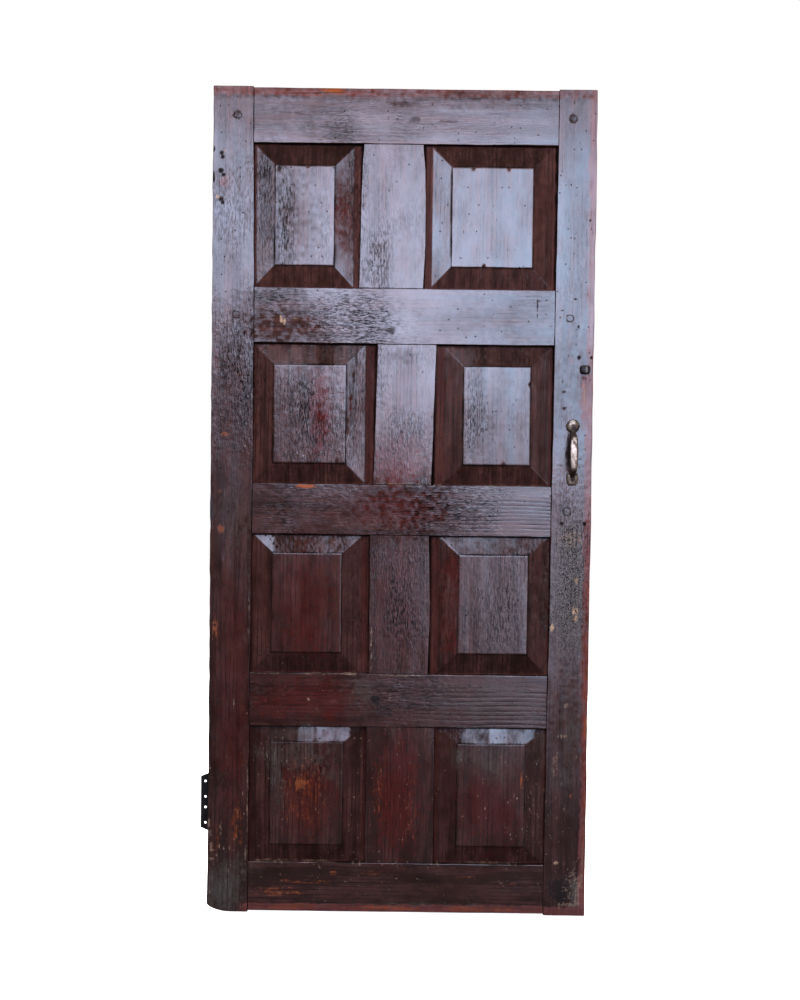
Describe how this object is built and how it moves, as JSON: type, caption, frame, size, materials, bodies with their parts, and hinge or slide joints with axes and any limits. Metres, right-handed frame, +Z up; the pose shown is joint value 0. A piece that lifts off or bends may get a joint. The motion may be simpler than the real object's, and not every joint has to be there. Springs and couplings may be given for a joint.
{
  "type": "panelled front door",
  "caption": "Joined softwood front door leaf with raised and fielded panels, worn dark varnish, a cast bow pull, an iron stud and a butt hinge whose free leaf screws to the frame.",
  "frame": {"origin": "middle of the screw holes in the hinge's free leaf, on the face that bears on the door frame", "axes": "+Z up along the stiles, +X from the hinge edge to the lock edge, -Y out of the front face"},
  "size_m": [0.9375, 0.0999, 1.981],
  "materials": {
    "framing": "old dark red-brown varnish, glossy, worn at the edges",
    "panels": "old dark red-brown varnish, glossy",
    "pegs": "varnished end grain, flush",
    "iron": "black, dull",
    "brass": "worn bright on the bow, dark in the hollows"
  },
  "bodies": {
    "frame_leaf": {"hinge_frame_leaf": "iron", "hinge_pin": "iron"},
    "door": {"hinge_stile": "framing", "lock_stile": "framing", "top_rail": "framing", "upper_rail": "framing", "lock_rail": "framing", "lower_rail": "framing", "bottom_rail": "framing", "muntin_1": "framing", "muntin_2": "framing", "muntin_3": "framing", "muntin_4": "framing", "panel_1_hinge": "panels", "panel_1_lock": "panels", "panel_2_hinge": "panels", "panel_2_lock": "panels", "panel_3_hinge": "panels", "panel_3_lock": "panels", "panel_4_hinge": "panels", "panel_4_lock": "panels", "tenon_pegs": "pegs", "hinge_door_leaf": "iron", "hinge_screws": "iron", "iron_stud": "iron", "pull_handle": "brass", "pull_screws": "brass"}
  },
  "joints": [
    {"name": "door_swing", "type": "hinge", "parent": "frame_leaf", "child": "door", "pos_m": [0.021, 0.0061, 0], "axis": [0, 0, 1], "range_deg": [0, 170]}
  ]
}
